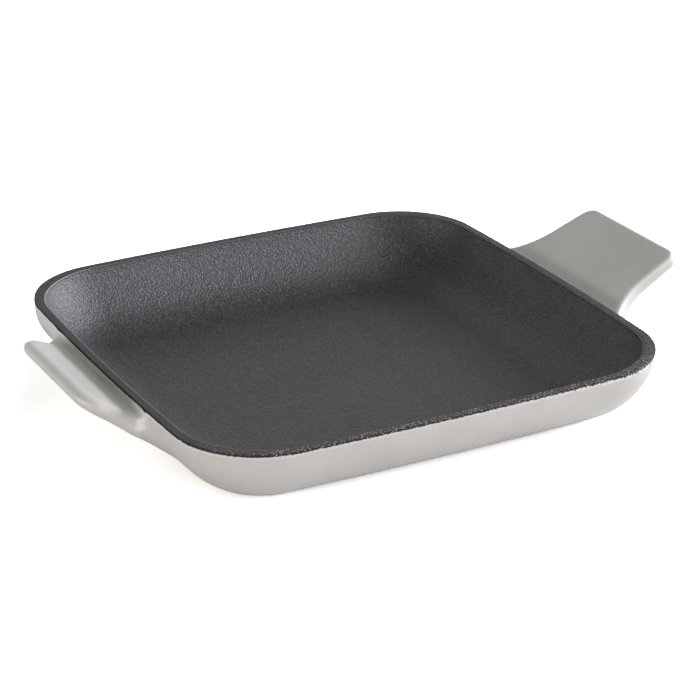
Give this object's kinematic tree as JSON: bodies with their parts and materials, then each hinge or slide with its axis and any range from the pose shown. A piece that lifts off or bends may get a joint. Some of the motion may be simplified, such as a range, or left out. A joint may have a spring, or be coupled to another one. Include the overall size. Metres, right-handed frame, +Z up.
{
  "type": "serving pan",
  "caption": "Shallow square enamelled cast-iron serving pan with a long flat lifting handle and a short helper handle on the opposite side.",
  "frame": {"origin": "centre of the flat underside that the pan stands on", "axes": "+Z up, +X along the long lifting handle, the short handle at -X, +Y to the left when looking along +X"},
  "size_m": [0.3168, 0.2428, 0.0472],
  "materials": {
    "iron": "as cast, hidden under the enamel",
    "grey_enamel": "gloss vitreous enamel, warm light grey",
    "base_enamel": "satin vitreous enamel, warm grey, ground flat",
    "black_enamel": "satin black vitreous enamel with a fine sandy grain",
    "rim_ground_coat": "rough dark ground coat, pitted"
  },
  "bodies": {
    "root": {"iron_casting": "iron", "outer_enamel": "grey_enamel", "base_enamel": "base_enamel", "inner_enamel": "black_enamel", "rim_coat": "rim_ground_coat"}
  },
  "joints": []
}
